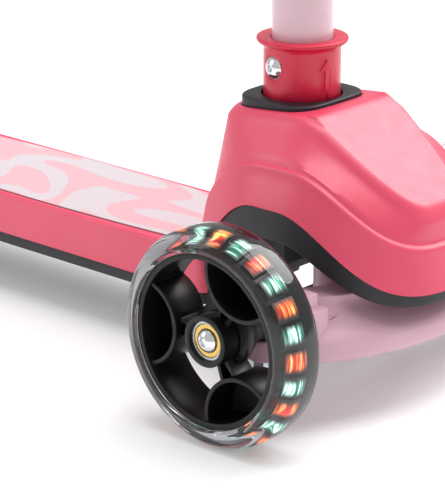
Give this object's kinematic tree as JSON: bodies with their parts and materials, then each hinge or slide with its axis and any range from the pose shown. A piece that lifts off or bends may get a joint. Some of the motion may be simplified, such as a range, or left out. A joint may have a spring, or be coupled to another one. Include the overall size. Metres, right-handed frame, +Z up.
{
  "type": "kick scooter",
  "caption": "Lean-to-steer child's kick scooter with lit clear front wheels, a small rear wheel with a foot brake, and a height-adjustable T handlebar.",
  "frame": {"origin": "on the floor, under the middle of the whole scooter", "axes": "+X forward, +Y to the rider's left, +Z up along the stem"},
  "size_m": [0.557, 0.2774, 0.6695],
  "materials": {
    "cover_pink": "satin moulded",
    "collar_pink": "satin moulded",
    "mat_print": "printed, fine ribs",
    "black_plastic": "fine matte grain",
    "tube_paint": "satin powder coat",
    "beam_pink": "satin moulded",
    "steel": "zinc plated",
    "chrome": "polished",
    "bush_nylon": "natural nylon",
    "buffer_orange": "cast polyurethane",
    "rod_grey": "black oxide",
    "clear_tyre": "clear polyurethane",
    "light_strip": "light segments",
    "bearing_gold": "gold shielded bearing",
    "grip_pink": "soft moulded"
  },
  "bodies": {
    "frame": {"deck_shell": "cover_pink", "deck_mat": "mat_print", "deck_base": "black_plastic", "deck_screws": "steel", "front_frame": "black_plastic", "front_cover": "cover_pink", "front_liner": "black_plastic", "stem_bezel": "black_plastic", "stem_collar": "collar_pink", "collar_bolt": "chrome", "collar_nut": "steel", "lower_tube": "tube_paint", "tube_sleeve": "black_plastic", "tube_clamp": "black_plastic", "clamp_bolt": "steel", "lever_pin": "steel", "lean_shaft": "steel", "drive_pin": "steel", "rear_spacer": "steel", "rear_axle": "steel", "rear_nut": "steel", "brake_pin": "steel", "brake_spring": "steel"},
    "bar": {"upper_tube": "tube_paint", "bar_head": "black_plastic", "handlebar": "tube_paint", "left_grip": "grip_pink", "right_grip": "grip_pink"},
    "lever": {"clamp_lever": "black_plastic"},
    "truck": {"truck_beam": "beam_pink", "lean_bushes": "bush_nylon", "lean_buffers": "buffer_orange", "left_kingpin": "steel", "right_kingpin": "steel"},
    "left_upright": {"left_knuckle": "black_plastic", "left_tie_pin": "steel", "left_axle_bolt": "chrome"},
    "right_upright": {"right_knuckle": "black_plastic", "right_tie_pin": "steel", "right_axle_bolt": "chrome"},
    "tie_rod_body": {"tie_rod": "rod_grey"},
    "left_wheel": {"left_hub": "black_plastic", "left_tyre": "clear_tyre", "left_lights": "light_strip", "left_bearings": "bearing_gold", "left_spacer": "steel"},
    "right_wheel": {"right_hub": "black_plastic", "right_tyre": "clear_tyre", "right_lights": "light_strip", "right_bearings": "bearing_gold", "right_spacer": "steel"},
    "rear_wheel": {"rear_hub": "black_plastic", "rear_tyre": "clear_tyre", "rear_bearings": "bearing_gold"},
    "brake": {"brake_fender": "black_plastic", "brake_pad": "black_plastic"}
  },
  "joints": [
    {"name": "truck_lean", "type": "hinge", "parent": "frame", "child": "truck", "pos_m": [0.21849, 0, 0.078], "axis": [1, 0, 0], "range_deg": [-8, 8], "stiffness_Nm_per_rad": 90, "deforming": ["lean_buffers"]},
    {"name": "left_steer", "type": "hinge", "parent": "truck", "child": "left_upright", "pos_m": [0.21849, 0.088, 0.06], "axis": [0, 0, 1], "range_deg": [-8, 8]},
    {"name": "right_steer", "type": "hinge", "parent": "truck", "child": "right_upright", "pos_m": [0.21849, -0.088, 0.06], "axis": [0, 0, 1], "range_deg": [-8, 8]},
    {"name": "tie_rod_shift", "type": "slide", "parent": "truck", "child": "tie_rod_body", "axis": [0, 1, 0], "range_m": [-0.0045, 0.0045]},
    {"name": "left_roll", "type": "hinge", "parent": "left_upright", "child": "left_wheel", "pos_m": [0.21849, 0.1238, 0.06], "axis": [0, 1, 0], "continuous": true},
    {"name": "right_roll", "type": "hinge", "parent": "right_upright", "child": "right_wheel", "pos_m": [0.21849, -0.1238, 0.06], "axis": [0, 1, 0], "continuous": true},
    {"name": "rear_roll", "type": "hinge", "parent": "frame", "child": "rear_wheel", "pos_m": [-0.23151, 0, 0.04], "axis": [0, 1, 0], "continuous": true},
    {"name": "brake_press", "type": "hinge", "parent": "frame", "child": "brake", "pos_m": [-0.17751, 0, 0.044], "axis": [0, -1, 0], "range_deg": [0, 3], "stiffness_Nm_per_rad": 3, "springref_deg": -8.59},
    {"name": "bar_height", "type": "slide", "parent": "frame", "child": "bar", "axis": [0, 0, 1], "range_m": [0, 0.12]},
    {"name": "lever_open", "type": "hinge", "parent": "frame", "child": "lever", "pos_m": [0.13819, 0.0152, 0.413], "axis": [0, 0, 1], "range_deg": [0, 110]}
  ],
  "couplings": [
    {"joint": "left_steer", "follows": "truck_lean", "ratio": 1},
    {"joint": "right_steer", "follows": "truck_lean", "ratio": 1},
    {"joint": "tie_rod_shift", "follows": "truck_lean", "m_per_rad": -0.03}
  ]
}
